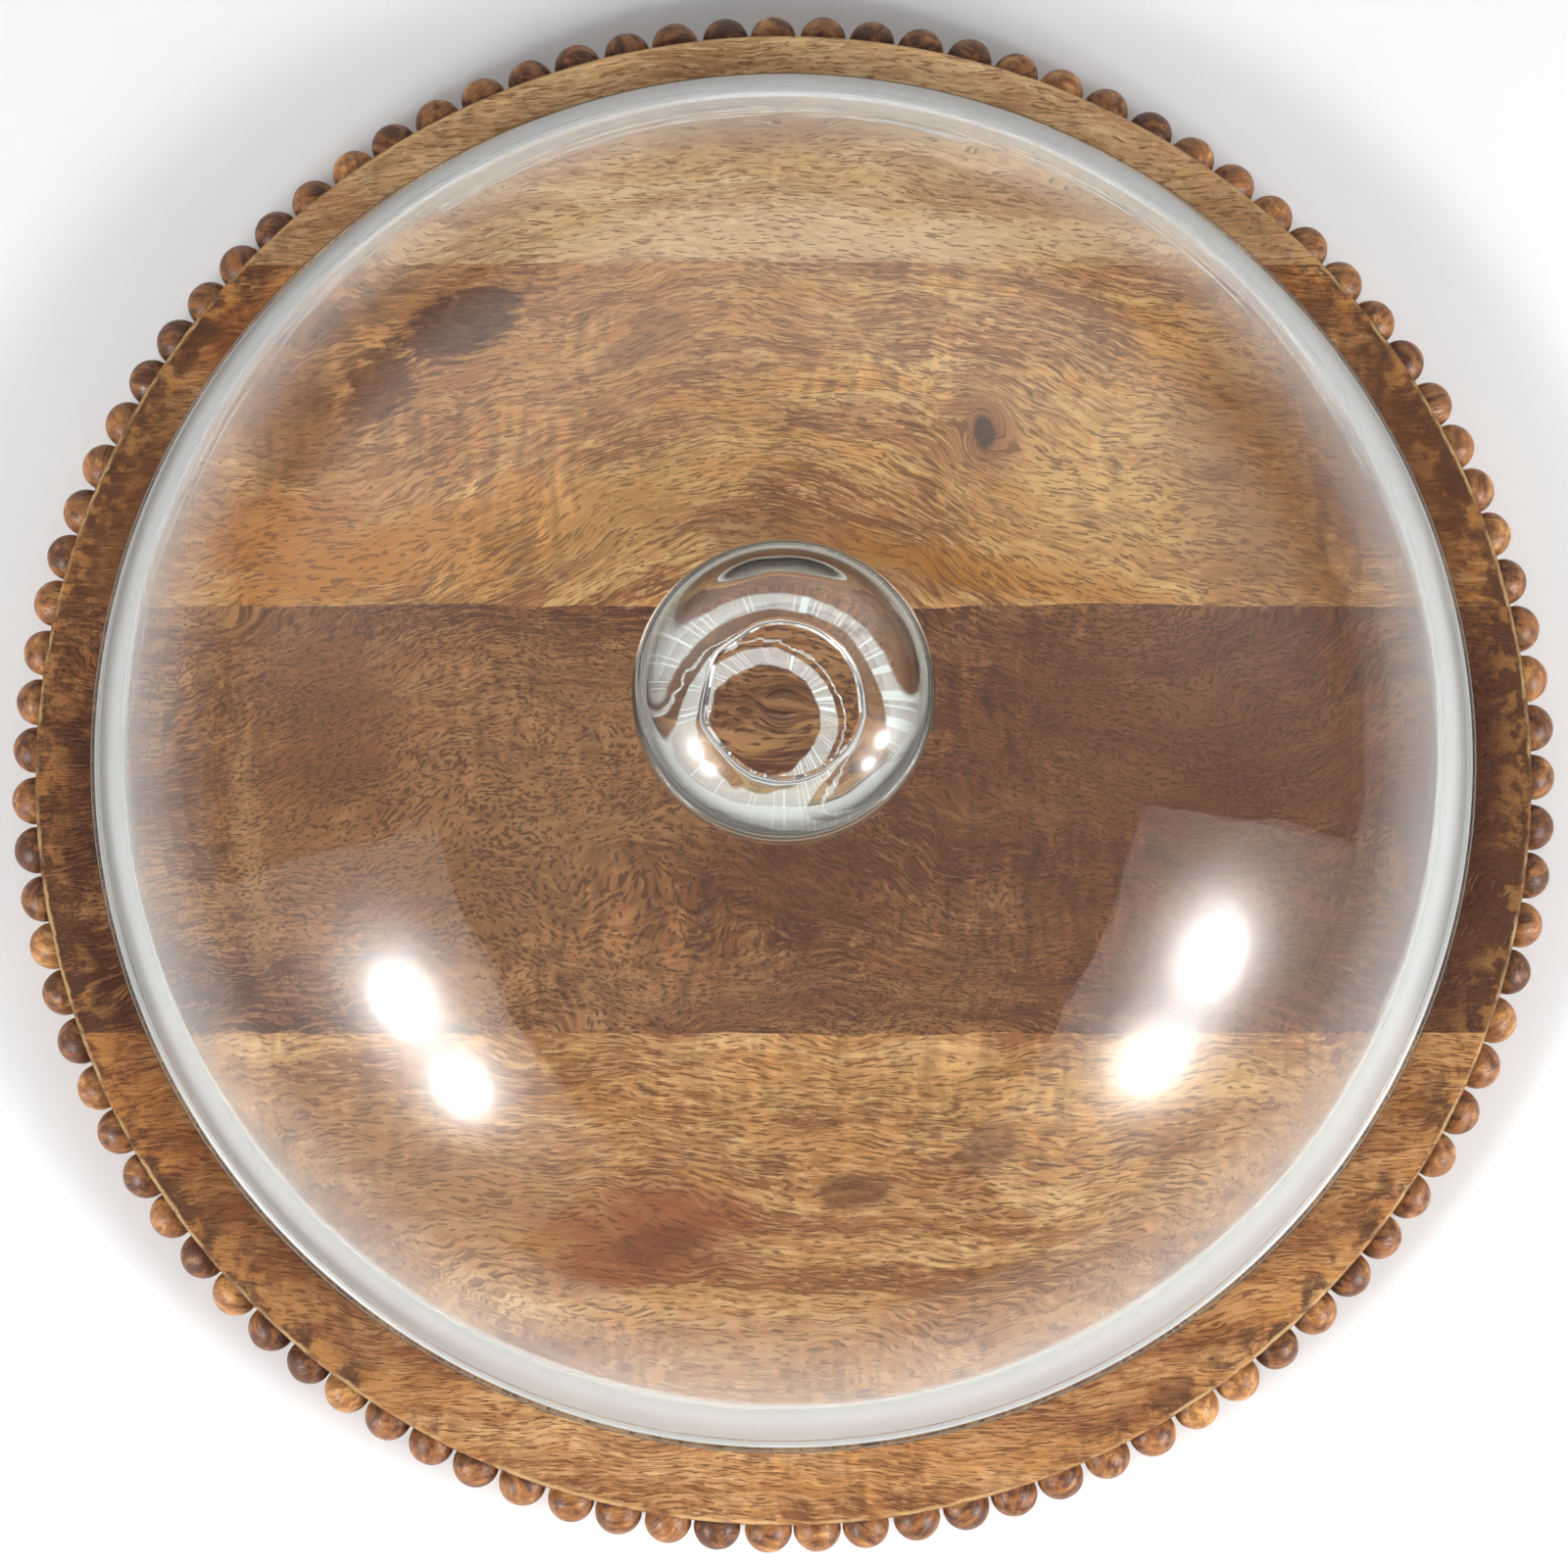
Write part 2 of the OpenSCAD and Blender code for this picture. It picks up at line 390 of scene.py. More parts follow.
def wood_tone(n, place, grain, wood):
    """The colour of the plain wood, with its bands, streaks and mottling."""
    seed = wood["seed"]
    bands = n.noise(n.stretch(grain, (80, 6.5, 6.5), seed), detail=3, rough=0.55)
    streaks = n.noise(n.stretch(grain, (14, 1.0, 1.0), seed + 2), detail=3, rough=0.65)
    blotches = n.noise(n.stretch(place, (34, 20, 20), seed + 11), detail=4, rough=0.6)
    speckle = n.noise(n.stretch(grain, (2.6, 1.2, 1.2), seed + 13), detail=2, rough=0.6)
    tone = n.total(n.centred(bands, wood["band"] * 3.0), n.centred(blotches, wood["mottle"] * 3.4),
                   n.centred(streaks, 1.5), n.centred(speckle, wood["speckle"]), 0.5)
    low = n.blend(n.span(tone, 0.0, 0.5), rgb(*wood["dark"]), rgb(*wood["middle"]))
    colour = n.blend(n.span(tone, 0.45, 1.0), low, rgb(*wood["light"]))
    warmth = n.noise(n.stretch(grain, (30, 8, 8), seed + 47), detail=3, rough=0.6)
    colour = n.blend(n.span(warmth, 0.51, 0.58, 0.0, 0.65), colour, rgb(*wood["warm"]))
    colour = n.blend(n.span(warmth, 0.47, 0.40, 0.0, 0.65), colour, rgb(*wood["ruddy"]))
    flecks = n.noise(n.stretch(grain, (5.0, 0.55, 0.55), seed + 43), detail=3, rough=0.65)
    colour = n.blend(n.span(flecks, 0.52, 0.60, 0.0, wood["flecks"]), colour, rgb(*wood["dark"]))
    colour = n.blend(n.span(flecks, 0.46, 0.38, 0.0, wood["flecks"]), colour, rgb(*wood["light"]))
    return colour, streaks, speckle


def plank_material(name):
    """One plank's wood: its tone, patches and knots, then figure, pores, stain and the darker side."""
    wood = WOODS[name]
    seed = wood["seed"]
    material, n = new_material(name + "_wood")
    place = n.add("VectorMath", {0: n.add("TexCoord", out=3), 3: 1 / MM}, operation="SCALE")
    x, y, z = n.split(place)
    grain = grain_vector(n, place, wood)
    colour, streaks, speckle = wood_tone(n, place, grain, wood)

    wobble = n.centred(n.noise(n.stretch(grain, (12, 6, 6), seed + 17), detail=3, rough=0.6), 1.0)
    fibres = n.noise(n.stretch(grain, (6, 1.1, 1.1), seed + 53), detail=3, rough=0.65)
    wobble = n.math("ADD", wobble, n.centred(fibres, 0.9))
    for patch in wood["patches"]:
        mask = patch_mask(n, x, y, wobble, patch)
        flecked = n.math("ADD", mask, n.times(n.centred(speckle, 0.9), mask))
        colour = n.blend(flecked, colour, rgb(*patch[5]))
    for knot in wood["knots"]:
        colour = knot_colour(n, colour, x, y, wobble, knot)

    # Figure that runs across the grain and shows only in places
    bars = n.noise(n.stretch(grain, (2.4, 13, 13), seed + 19), detail=1)
    where = n.span(n.noise(n.stretch(place, (40, 30, 30), seed + 23), detail=1), 0.45, 0.65)
    ripple = n.math("ADD", n.times(n.centred(bars, wood["ripple"] * 4), where), 1.0)
    shade = n.add("CombineColor", {0: ripple, 1: ripple, 2: ripple})
    colour = n.blend(1.0, colour, shade, "MULTIPLY")

    # Pores: short dark dashes that follow the grain
    crowd = n.noise(n.stretch(place, (15, 9, 9), seed + 29), detail=1)
    limit = n.math("SUBTRACT", wood["pores"], n.centred(crowd, 0.22))
    lengths = (wood["pore_length"], wood["pore_width"], wood["pore_width"])
    dashes = n.noise(n.stretch(grain, lengths, seed + 3), detail=1, rough=0.4)
    pores = n.span(n.math("SUBTRACT", dashes, limit), 0.0, 0.09)
    colour = n.blend(n.times(pores, 0.7), colour, rgb(*wood["pore"]))

    radius = n.math("SQRT", n.math("ADD", n.times(x, x), n.times(y, y)))
    colour = edge_stain(n, colour, place, radius, wood)

    # The upright side and the cove are darker than the top
    outermost = n.span(radius, RIM_MM - 0.4, RIM_MM + 0.2)
    below_top = n.span(z, TOP_MM - 0.8, TOP_MM - 1.4, 0.0, 0.45)
    side = n.math("MAXIMUM", outermost, below_top)
    colour = n.blend(n.times(side, 0.8), colour, rgb(78, 48, 32))

    shader = n.add("BsdfPrincipled", {
        "Base Color": colour, "Roughness": n.span(streaks, 0.3, 0.7, 0.46, 0.6),
        "Specular IOR Level": 0.4,
        "Normal": n.bump(n.math("SUBTRACT", n.times(streaks, 0.3), pores), 0.12 * MM)})
    n.output(shader)
    return material


# ---- Wood of the balls ----

def bead_material():
    """Stained wood for the balls. Each ball brings its own grain coordinates and tone."""
    material, n = new_material("turned_bead_wood")
    own = n.add("Attribute", attribute_name="own_grain", out="Vector")
    tone = n.add("Attribute", attribute_name="tone", out="Fac")
    rings = n.noise(n.stretch(own, (14, 1.5, 1.5)), detail=2)
    streaks = n.noise(n.stretch(own, (5.0, 0.45, 0.45), 4.0), detail=2, rough=0.6)
    mottle = n.noise(n.stretch(own, (3.5, 3.0, 3.0), 9.0), detail=2)
    share = n.total(n.centred(rings, 1.6), n.centred(mottle, 1.3), n.centred(streaks, 0.8), tone)
    low = n.blend(n.span(share, 0.0, 0.5), rgb(88, 50, 28), rgb(152, 98, 54))
    colour = n.blend(n.span(share, 0.5, 1.0), low, rgb(206, 150, 86))
    pores = n.span(n.noise(n.stretch(own, (2.6, 0.35, 0.35), 2.0), detail=1), 0.6, 0.7)
    colour = n.blend(n.times(pores, 0.6), colour, rgb(70, 40, 26))
    shader = n.add("BsdfPrincipled", {
        "Base Color": colour, "Roughness": n.span(streaks, 0.3, 0.7, 0.38, 0.52),
        "Specular IOR Level": 0.5,
        "Normal": n.bump(n.math("SUBTRACT", n.times(streaks, 0.4), pores), 0.08 * MM)})
    n.output(shader)
    return material


# ---- Glass ----

def glass_output(n, colour, tint, roughness=0.0, transmission=1.0, **more):
    """Glass that lets the lamps' light through, dimmed by its tint."""
    inputs = {"Base Color": colour, "Roughness": roughness, "IOR": GLASS_IOR,
              "Transmission Weight": transmission}
    glass = n.add("BsdfPrincipled", {**inputs, **more})
    clear = n.add("BsdfTransparent", {0: tint})
    path = n.add("LightPath").node
    lamp = n.math("MAXIMUM", path.outputs["Is Shadow Ray"], path.outputs["Is Diffuse Ray"])
    n.output(n.add("MixShader", {0: lamp, 1: glass, 2: clear}))


def blown_glass_material():
    """Clear, slightly green glass."""
    material, n = new_material("blown_glass")
    glass_output(n, CLEAR, LAMP_TINT)
    return material


def foot_glass_material():
    """The lowest part of the wall. Seen edge on it has a painted whitish glow, standing in for the light
    that the glass gathers there.
    """
    material, n = new_material("foot_glass")
    place = n.add("VectorMath", {0: n.add("TexCoord", out=3), 3: 1 / MM}, operation="SCALE")
    facing = n.add("LayerWeight", {0: 0.5}, out="Facing")
    rings = n.noise(n.stretch(place, (60, 60, 1.6), 3.0), detail=2)
    x, y, z = n.split(place)
    top = (FOOT_Z + PAINTED_GLOW_TOP) / MM
    low = n.span(z, top, top - PAINTED_GLOW_FADE / MM)
    lateral = n.math("DIVIDE", x, FOOT_MM)
    backward = n.math("DIVIDE", y, FOOT_MM)

    # Facing is 0 face on and 1 edge on. The painted glow starts where the wall turns steep, and the
    # top of the rolled bead shows it from every side.
    slant = n.total(facing, n.centred(rings, 0.05), n.times(lateral, 0.015), n.times(backward, -0.04))
    edge_on = n.span(slant, 0.635, 0.70)
    on_bead = n.span(z, (FOOT_Z + 2 * RIM_R) / MM, (FOOT_Z + 1.7 * RIM_R) / MM)
    edge_on = n.math("MAXIMUM", edge_on, on_bead)
    painted_glow = n.times(n.times(edge_on, low), 0.82)

    # Colour of the painted glow: grey-green at the inner edge, whiter outside it, and greyer on the left and
    # at the far right
    colour = n.blend(n.span(facing, 0.65, 0.74), (0.29, 0.31, 0.27, 1), (0.43, 0.445, 0.44, 1))
    greyer = n.math("MAXIMUM", n.span(lateral, -0.35, -0.65), n.span(lateral, 0.86, 0.98, 0.0, 0.9))
    outer = n.times(n.span(n.math("ADD", facing, n.centred(rings, 0.1)), 0.77, 0.88), greyer)
    colour = n.blend(outer, colour, (0.22, 0.24, 0.225, 1))
    # The painted glow on the bead is lighter at the front.
    front = n.span(y, -60, -118)
    painted_bead_glow = n.blend(front, (0.31, 0.33, 0.32, 1), (0.42, 0.43, 0.42, 1))
    colour = n.blend(on_bead, colour, painted_bead_glow)
    # Where the painted glow shows, the glass turns whitish, rougher and less clear.
    colour = n.blend(painted_glow, CLEAR, colour)
    glass_output(n, colour, LAMP_TINT, n.times(painted_glow, 0.35), n.math("SUBTRACT", 1.0, painted_glow),
                 Normal=n.bump(rings, 0.02 * MM))
    return material


def bead_glass_material():
    """The outer half of the rolled bead. Its edge, where it meets the wood, is painted dark: a painted
    contact shadow.
    """
    material, n = new_material("foot_bead_glass")
    facing = n.add("LayerWeight", {0: 0.5}, out="Facing")
    # Painted contact shadow: seen edge on, the glass turns dark brown, rougher and less clear.
    dark = n.span(facing, 0.45, 0.75)
    colour = n.blend(dark, (0.80, 0.83, 0.78, 1), (0.05, 0.03, 0.02, 1))
    clearness = n.math("SUBTRACT", 1.0, n.times(dark, 0.85))
    glass_output(n, colour, (0.30, 0.26, 0.22, 1), n.times(dark, 0.55), clearness,
                 **{"Specular IOR Level": 0.02})
    return material


def knob_glass_material():
    """Thick glass with a painted dark edge, standing in for the dark studio that the glass bends into view
    there.
    """
    material, n = new_material("knob_glass")
    facing = n.add("LayerWeight", {0: 0.5}, out="Facing")
    colour = n.blend(n.span(facing, 0.15, 0.42), (0.975, 0.985, 0.975, 1), (0.12, 0.10, 0.075, 1))
    glass_output(n, colour, LAMP_TINT, **{"Specular IOR Level": 0.15})
    return material


def seam_material():
    """Where the knob is fused to the dome there is no surface to see."""
    material, n = new_material("fused_seam")
    speck = n.noise(n.add("TexCoord", out=3), detail=0)
    tint = n.blend(n.times(speck, 0.01), (1, 1, 1, 1), (0.98, 0.99, 0.985, 1))
    n.output(n.add("BsdfTransparent", {0: tint}))
    return material


def ring_mask(n, radius, inner, outer, soft):
    """1 between two radii, falling off over a soft edge."""
    return n.times(n.span(radius, inner - soft, inner), n.span(radius, outer + soft, outer))


def off_axis_radius(n, x, y, shift):
    """The distance from a point beside the glass's axis, and the turn about it."""
    dx = n.math("SUBTRACT", x, GLASS_AXIS.x / MM + shift[0])
    dy = n.math("SUBTRACT", y, GLASS_AXIS.y / MM + shift[1])
    return n.math("SQRT", n.math("ADD", n.times(dx, dx), n.times(dy, dy))), n.math("ARCTAN2", dy, dx)


def crimp_material():
    """The knob's underside: clear, with the whitish uneven rings where the neck was crimped and fused."""
    material, n = new_material("crimped_seam")
    place = n.add("VectorMath", {0: n.add("TexCoord", out=3), 3: 1 / MM}, operation="SCALE")
    x, y, z = n.split(place)
    radius, turn = off_axis_radius(n, x, y, CRIMP_SHIFT)
    wide_radius, _ = off_axis_radius(n, x, y, PAD_SHIFT)
    flats = n.math("ABSOLUTE", n.math("SINE", n.math("ADD", n.times(turn, NECK_FLATS / 2), FLATS_TURN)))
    waver = n.centred(n.noise(n.stretch(place, (5, 5, 5), 3.0), detail=3, rough=0.6), 1.0)
    jagged = n.centred(n.noise(n.stretch(place, (1.6, 1.6, 1.6), 8.0), detail=2), 1.0)
    uneven = n.total(radius, n.times(flats, 0.2), n.times(waver, 1.6), n.times(jagged, 0.25))
    inner_ring = ring_mask(n, uneven, 7.2, 9.0, 0.3)
    outer_ring = ring_mask(n, n.math("ADD", wide_radius, n.times(waver, 1.2)), 12.0, 13.5, 0.4)
    hair_line = n.times(ring_mask(n, n.math("ADD", uneven, jagged), 9.9, 10.05, 0.15), 0.9)
    gaps = n.span(waver, -0.24, 0.0, 0.35, 1.0)
    white = n.math("MAXIMUM", n.math("MAXIMUM", inner_ring, n.times(outer_ring, gaps)), hair_line)
    scatter = n.add("BsdfPrincipled", {
        "Base Color": (0.96, 0.97, 0.95, 1), "Roughness": 0.4,
        "Normal": n.bump(jagged, 0.05 * MM)})
    clear = n.add("BsdfTransparent", {0: (0.99, 0.99, 0.985, 1)})
    n.output(n.add("MixShader", {0: white, 1: clear, 2: scatter}))
    return material


# ---- Meshes ----

def revolve(profile, segments, axis, shape=None):
    """A closed surface of revolution. The profile is a list of (radius, height), first and last on the
    axis. shape may change each point: it takes the radius, the height and the turn."""
    bm = bmesh.new()
    rows = []
    for radius, height in profile:
        if radius < 1e-7:
            rows.append([bm.verts.new((axis.x, axis.y, height))])
            continue
        row = []
        for s in range(segments):
            turn = 2 * math.pi * s / segments
            r, h = shape(radius, height, turn) if shape else (radius, height)
            row.append(bm.verts.new((axis.x + r * math.cos(turn), axis.y + r * math.sin(turn), h)))
        rows.append(row)
    for low, high in zip(rows, rows[1:]):
        for s in range(segments):
            t = (s + 1) % segments
            if len(low) == 1:
                bm.faces.new((low[0], high[t], high[s]))
            elif len(high) == 1:
                bm.faces.new((low[s], low[t], high[0]))
            else:
                bm.faces.new((low[s], low[t], high[t], high[s]))
    for face in bm.faces:
        face.smooth = True
    bmesh.ops.recalc_face_normals(bm, faces=bm.faces)
    return bm


def to_mesh(bm, name):
    """The finished mesh. It frees the mesh being edited."""
    mesh = bpy.data.meshes.new(name)
    bm.to_mesh(mesh)
    bm.free()
    return mesh


def add_piece(name, mesh, materials, body, slot, *nodes):
    """One visible piece that rides on a body and stands in for the named CAD nodes."""
    piece = bpy.data.objects.new(name, mesh)
    bpy.context.scene.collection.objects.link(piece)
    for material in materials:
        mesh.materials.append(material)
    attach(piece, body)
    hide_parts(*nodes)
    return piece


def arc(middle_r, middle_z, radius, start, end, steps):
    """Points of an arc in a profile, between two turns in degrees."""
    turns = [math.radians(start + (end - start) * k / steps) for k in range(steps + 1)]
    return [(middle_r + radius * math.cos(t), middle_z + radius * math.sin(t)) for t in turns]


def board_profile():
    """From the middle of the underside, round the edge and its cove, to the middle of the top."""
    reach = math.degrees(math.acos((RING_R - BOARD_R) / COVE_R))
    low_arris = arc(BOARD_R - ARRIS, ARRIS, ARRIS, -90, 0, 6)
    cove = arc(RING_R, BOARD_T / 2, COVE_R, 180 + reach, 180 - reach, 24)
    high_arris = arc(BOARD_R - ARRIS, BOARD_T - ARRIS, ARRIS, 0, 90, 6)
    inset = BOARD_R * 0.97
    return [(0.0, 0.0), (inset, 0.0)] + low_arris + cove + high_arris + [(inset, BOARD_T), (0.0, BOARD_T)]


def worn_edge(radius, height, turn):
    """Small hollows where the arris has been sanded and knocked. It only ever takes wood away."""
    near = max(0.0, 1 - abs(radius - BOARD_R + ARRIS * 0.5) / (2 * ARRIS))
    if 3 * ARRIS < height < BOARD_T - 3 * ARRIS:
        near = 0.0
    spot = Vector((math.cos(turn), math.sin(turn), height / BOARD_T))
    wear = max(0.0, noise.noise(spot * 11) + 0.25) + 0.5 * max(0.0, noise.noise(spot * 47))
    sunk = 0.16 * MM * near * wear
    return radius - sunk, height + (-sunk if height > BOARD_T / 2 else sunk)


def build_plank(name, slot):
    """The whole board cut along its glue lines, so that neighbouring planks share one outline."""
    low, high = plank_box[name]
    bm = revolve(board_profile(), BOARD_TURNS, Vector((0, 0, 0)), worn_edge)
    for edge_y, keep in ((low.y, 1), (high.y, -1)):
        if abs(edge_y) > BOARD_R - MM:
            continue
        geometry = bm.verts[:] + bm.edges[:] + bm.faces[:]
        cut = bmesh.ops.bisect_plane(bm, geom=geometry, plane_co=(0, edge_y, 0), plane_no=(0, -keep, 0),
                                     clear_outer=True)
        edges = [e for e in cut["geom_cut"] if isinstance(e, bmesh.types.BMEdge)]
        bmesh.ops.contextual_create(bm, geom=edges)
    bmesh.ops.recalc_face_normals(bm, faces=bm.faces)
    for face in bm.faces:
        is_flat = abs(face.normal.z) > 0.999 or abs(face.normal.y) > 0.99999
        face.smooth = not is_flat
    return add_piece(name + "_shown", to_mesh(bm, name), [plank_material(name)], "board", slot, name)


def bead_places(node_name):
    """The middle and the radius of each ball of a CAD group."""
    bm = bmesh.new()
    bm.from_mesh(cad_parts[node_name].data)
    bmesh.ops.remove_doubles(bm, verts=bm.verts, dist=0.01 * MM)
    left = set(bm.verts)
    places = []
    while left:
        island = []
        queue = [left.pop()]
        while queue:
            vert = queue.pop()
            island.append(vert.co.copy())
            for edge in vert.link_edges:
                other = edge.other_vert(vert)
                if other in left:
                    left.remove(other)
                    queue.append(other)
        lows = [min(co[i] for co in island) for i in range(3)]
        highs = [max(co[i] for co in island) for i in range(3)]
        middle = Vector([(a + b) / 2 for a, b in zip(lows, highs)])
        places.append((middle, (highs[2] - lows[2]) / 2))
    bm.free()
    return sorted(places, key=lambda place: math.atan2(place[0].y, place[0].x))


def build_beads(node_name, material):
    """Turned balls, each slightly out of round, with its own tone and its own direction of grain."""
    dice = random.Random(node_name)
    bm = bmesh.new()
    grain = bm.verts.layers.float_vector.new("own_grain")
    tone = bm.verts.layers.float.new("tone")
    for middle, radius in bead_places(node_name):
        shift = Vector([dice.uniform(-1, 1) for _ in range(3)]) * 500
        turn = Matrix.Rotation(dice.uniform(0, math.tau), 3, Vector([dice.gauss(0, 1) for _ in range(3)]))
        own_tone = min(max(dice.gauss(0.36, 0.17), 0.05), 0.85)
        made = bmesh.ops.create_icosphere(bm, subdivisions=4, radius=1.0)
        for vert in made["verts"]:
            direction = vert.co.normalized()
            dent = 0.5 + 0.5 * noise.noise(direction * 1.6 + shift)
            small = 0.5 + 0.5 * noise.noise(direction * 5 + shift)
            local = direction * radius * (0.996 - 0.028 * dent - 0.008 * small)
            vert[grain] = turn @ local / MM + shift / 10
            vert[tone] = own_tone
            vert.co = middle + local
    for face in bm.faces:
        face.smooth = True
    name = node_name.replace("edge_beads", "turned_beads")
    return add_piece(name, to_mesh(bm, name), [material], "board", "stained_bead_wood", node_name)


def bell(radius, rise, turn):
    """A point of a bell's outline, from its foot (turn 0) to its crown."""
    share = 2 / BELL_POWER
    return radius * max(math.cos(turn), 0.0) ** share, rise * math.sin(turn) ** share


def bell_radius(radius, rise, height):
    """The radius of a bell's outline at a height."""
    share = min(max(height / rise, 0.0), 1.0)
    return radius * (1 - share ** BELL_POWER) ** (1 / BELL_POWER)


def dome_profile():
    """From the middle of the crown's underside, down the inside, round the foot bead, up to the seat."""
    turns = [math.pi / 2 * k / DOME_STEPS for k in range(DOME_STEPS + 1)]
    outside = [bell(WALL_R, BELL_H, t) for t in turns]
    inside = [bell(WALL_R - WALL_T, BELL_H - CROWN_T, t) for t in turns]
    bead_r = FOOT_R - RIM_R
    bead_z = RIM_R - RIM_GROUND
    ground = math.degrees(math.asin(bead_z / RIM_R))
    bead = arc(bead_r, bead_z, RIM_R, -ground, 80, 34)
    inner_foot = arc(WALL_R - WALL_T + RIM_GROUND, RIM_GROUND, RIM_GROUND, 180, 270, 6)
    seat = SEAT_Z - FOOT_Z
    outside = [p for p in outside if bead[-1][1] + 0.5 * MM < p[1] < seat]
    inside = [p for p in inside if p[1] > RIM_GROUND + 0.4 * MM]
    loop = [(0.0, BELL_H - CROWN_T)] + inside[-2::-1] + inner_foot + bead + outside
    loop += [(bell_radius(WALL_R, BELL_H, seat), seat), (NECK_R + NECK_FLARE, seat), (0.0, seat)]
    return [(r, h + FOOT_Z) for r, h in loop]


def blown_shape(radius, height, turn):
    """Hand-blown unevenness of the inner surface: broad waves, and fine rings low on the wall."""
    rise = height - FOOT_Z
    share = rise / BELL_H
    inner_r = bell_radius(WALL_R - WALL_T, BELL_H - CROWN_T, rise)
    if radius > inner_r + 0.5 * MM or share < 0.05:
        return radius, height
    spot = Vector((radius * math.cos(turn), radius * math.sin(turn), height)) / MM
    wave = 0.12 * noise.noise(spot / 21) + 0.045 * noise.noise(spot / 9)
    ring = 0.022 * math.sin(height / MM * 1.55 + 2 * noise.noise(spot / 60)) * max(0.0, 1 - share * 1.4)
    sunk = (0.08 + wave + ring) * MM
    return radius - sunk * (1 - share), height - sunk * share


def mark_seam(bm):
    """Faces on the seat, inside the neck, take the second material."""
    for face in bm.faces:
        on_seat = all(abs(vert.co.z - SEAT_Z) < 0.001 * MM for vert in face.verts)
        reach = max((vert.co - GLASS_AXIS).xy.length for vert in face.verts)
        face.material_index = 1 if on_seat and reach < NECK_R + NECK_FLARE + 0.01 * MM else 0
        face.smooth = not on_seat


def mark_foot(bm):
    """The outside of the wall near the foot takes the third material, and the rolled bead the fourth."""
    for face in bm.faces:
        middle = face.calc_center_median()
        rise = middle.z - FOOT_Z
        radius = (middle - GLASS_AXIS).xy.length
        is_outside = radius > bell_radius(WALL_R - WALL_T / 2, BELL_H - CROWN_T / 2, rise)
        if rise < 2 * RIM_R and radius > FOOT_R - 0.4 * RIM_R:
            face.material_index = 3
        elif is_outside and RIM_R < rise < PAINTED_GLOW_TOP:
            face.material_index = 2


def build_dome(glass, seam):
    """The blown bell with its rolled foot."""
    bm = revolve(dome_profile(), DOME_TURNS, GLASS_AXIS, blown_shape)
    mark_seam(bm)
    mark_foot(bm)
    materials = [glass, seam, foot_glass_material(), bead_glass_material()]
    return add_piece("blown_dome", to_mesh(bm, "dome"), materials, "cloche", "clear_glass", "glass_dome")


def neck_radius(height):
    """The neck's radius at a height: it flares out into the pad on the seat."""
    share = min((height - SEAT_Z) / (KNOB_H / 4), 1.0)
    return NECK_R + NECK_FLARE * (1 - share) ** 2


def knob_profile():
    """Up from the seat: the pad and neck, then the ball with its flatter underside."""
    half_h = KNOB_H / 2
    middle = KNOB_TOP - half_h
    ball = []
    for k in range(KNOB_STEPS + 1):
        turn = math.radians(-90 + 180 * k / KNOB_STEPS)
        share = 2 / KNOB_UNDER_POWER if turn < 0 else 1
        rise = math.copysign(abs(math.sin(turn)) ** share, turn)
        ball.append((KNOB_R * abs(math.cos(turn)) ** share, middle + half_h * rise))
    ball = [p for p in ball if p[1] > middle or p[0] > neck_radius(p[1]) + 0.5 * MM]
    top = ball[0][1] - 0.2 * MM
    neck_steps = 17
    heights = [SEAT_Z + (top - SEAT_Z) * k / neck_steps for k in range(neck_steps + 1)]
    neck = [(neck_radius(h), h) for h in heights]
    return [(0.0, SEAT_Z)] + neck + ball[:-1] + [(0.0, KNOB_TOP)]


def crimped_neck(radius, height, turn):
    """The neck was closed by hand, so its sides have flats and ridges. It only takes glass away."""
    rise = (height - SEAT_Z) / CRIMP_H
    if rise > 1.2 or not 5 * MM < radius < NECK_R + NECK_FLARE + 0.5 * MM:
        return radius, height
    facets = abs(math.sin(NECK_FLATS / 2 * turn + FLATS_TURN)) ** 0.6
    bumps = noise.noise(Vector((math.cos(turn) * 2, math.sin(turn) * 2, rise * 1.5)))
    strength = max(0.0, 1 - abs(rise - 0.45) / 0.75)
    return radius - (0.3 * facets + 0.5 * (bumps + 1)) * MM * strength, height


def build_knob(glass, seam):
    """The solid knob on its crimped neck."""
    bm = revolve(knob_profile(), KNOB_TURNS, GLASS_AXIS, crimped_neck)
    mark_seam(bm)
    return add_piece("fused_knob", to_mesh(bm, "knob"), [glass, seam], "cloche", "clear_glass", "glass_knob")


# ---- Studio ----

def build_floor():
    """White paper under the board, with painted shade that turns it grey beyond the frame. It is wide, so
    that its edge stays out of the other views.
    """
    half = FLOOR_HALF
    corners = [(-half, -half, 0), (half, -half, 0), (half, half, 0), (-half, half, 0)]
    mesh = bpy.data.meshes.new("floor")
    mesh.from_pydata(corners, [], [(0, 1, 2, 3)])
    floor = bpy.data.objects.new("floor", mesh)
    bpy.context.scene.collection.objects.link(floor)
    material, n = new_material("floor_paper")
    distance = n.add("VectorMath", {0: n.add("TexCoord", out=3)}, out="Value", operation="LENGTH")
    # Painted shade: grey further out from the board.
    colour = n.blend(n.span(distance, WHITE_TO, GREY_FROM), WHITE_PAPER, PAINTED_FAR_SHADE)
    n.output(n.add("BsdfPrincipled", {"Base Color": colour, "Roughness": 0.9}))
    mesh.materials.append(material)


def build_world():
    """A dim studio with a pale wall at the back, which fades out towards the horizon and overhead."""
    world = bpy.data.worlds.new("studio")
    world.use_nodes = True
    bpy.context.scene.world = world
    n = Nodes(world.node_tree)
    x, y, z = n.split(n.add("TexCoord", out=0))
    wall = n.times(n.span(y, -0.1, 0.75), n.times(n.span(z, 0.0, 0.35), n.span(z, 1.0, 0.6)))
    level = n.total(ROOM_LEVEL, n.times(wall, WALL_LEVEL))
    n.output(n.add("Background", {0: (1.0, 1.0, 1.0, 1), 1: level}), "OutputWorld")


